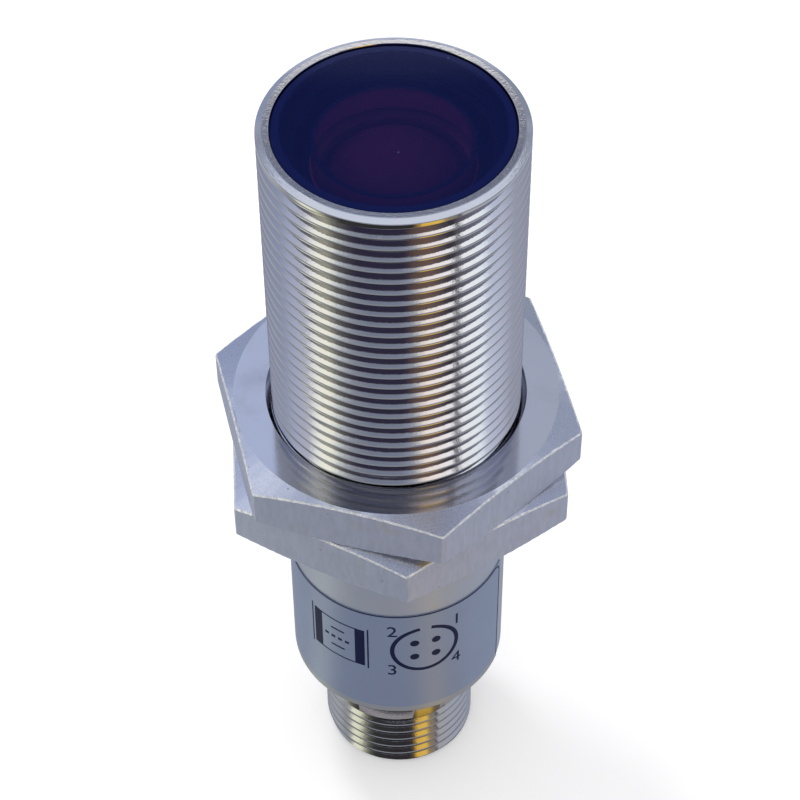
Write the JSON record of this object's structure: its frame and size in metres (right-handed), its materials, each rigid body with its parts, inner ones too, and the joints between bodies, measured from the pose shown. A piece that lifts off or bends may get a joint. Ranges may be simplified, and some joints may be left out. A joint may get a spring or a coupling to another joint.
{
  "type": "laser photoelectric sensor",
  "caption": "Threaded cylindrical optical sensor: flat dark window in a metal barrel, hexagon lock nuts that travel along the thread, and a round plug stub with contact pins at the rear.",
  "frame": {"origin": "centre of the plug stub's end face, the lowest point of the part", "axes": "+Z along the barrel's axis towards the sensing face; -Y is the side that carries the middle of the label"},
  "size_m": [0.0266, 0.0276, 0.065],
  "materials": {
    "plated_barrel": "polished",
    "plated_shell": "polished",
    "plated_nut": "satin",
    "dark_window": "gloss",
    "optical_glass": "polished",
    "seal_rubber": "matte",
    "black_metal": "matte",
    "black_moulding": "matte",
    "board_laminate": "satin",
    "flex_film": "satin",
    "gold_can": "polished",
    "gold_pins": "polished",
    "bare_brass": "satin",
    "capacitor_yellow": "satin",
    "ceramic_tan": "satin",
    "clear_film": "gloss",
    "potting_resin": "gloss",
    "label_foil": "satin"
  },
  "bodies": {
    "sensor_body": {"barrel": "plated_barrel", "front_window": "dark_window", "window_seal": "seal_rubber", "objective_lens": "optical_glass", "lens_clamp_ring": "black_metal", "optics_holder": "black_moulding", "beam_splitter": "optical_glass", "photodiode": "black_moulding", "receiver_board": "board_laminate", "receiver_flex": "flex_film", "laser_diode": "gold_can", "diode_clamp_ring": "bare_brass", "front_board": "board_laminate", "main_board": "board_laminate", "connector_board": "board_laminate", "microcontroller": "black_moulding", "laser_driver": "black_moulding", "voltage_regulator": "black_moulding", "surge_suppressor": "black_moulding", "supply_capacitor": "capacitor_yellow", "output_transistors": "black_moulding", "ceramic_capacitors": "ceramic_tan", "chip_resistors": "ceramic_tan", "insulating_sleeve": "clear_film", "connector_shell": "plated_shell", "contact_carrier": "black_moulding", "contact_pins": "gold_pins", "potting_plug": "potting_resin", "connector_seal": "seal_rubber", "label": "label_foil"},
    "upper_nut": {"upper_nut": "plated_nut"},
    "lower_nut": {"lower_nut": "plated_nut"}
  },
  "joints": [
    {"name": "upper_nut_travel", "type": "slide", "parent": "sensor_body", "child": "upper_nut", "axis": [0, 0, 1], "range_m": [0, 0.024]},
    {"name": "lower_nut_travel", "type": "slide", "parent": "sensor_body", "child": "lower_nut", "axis": [0, 0, 1], "range_m": [-0.003, 0]}
  ]
}
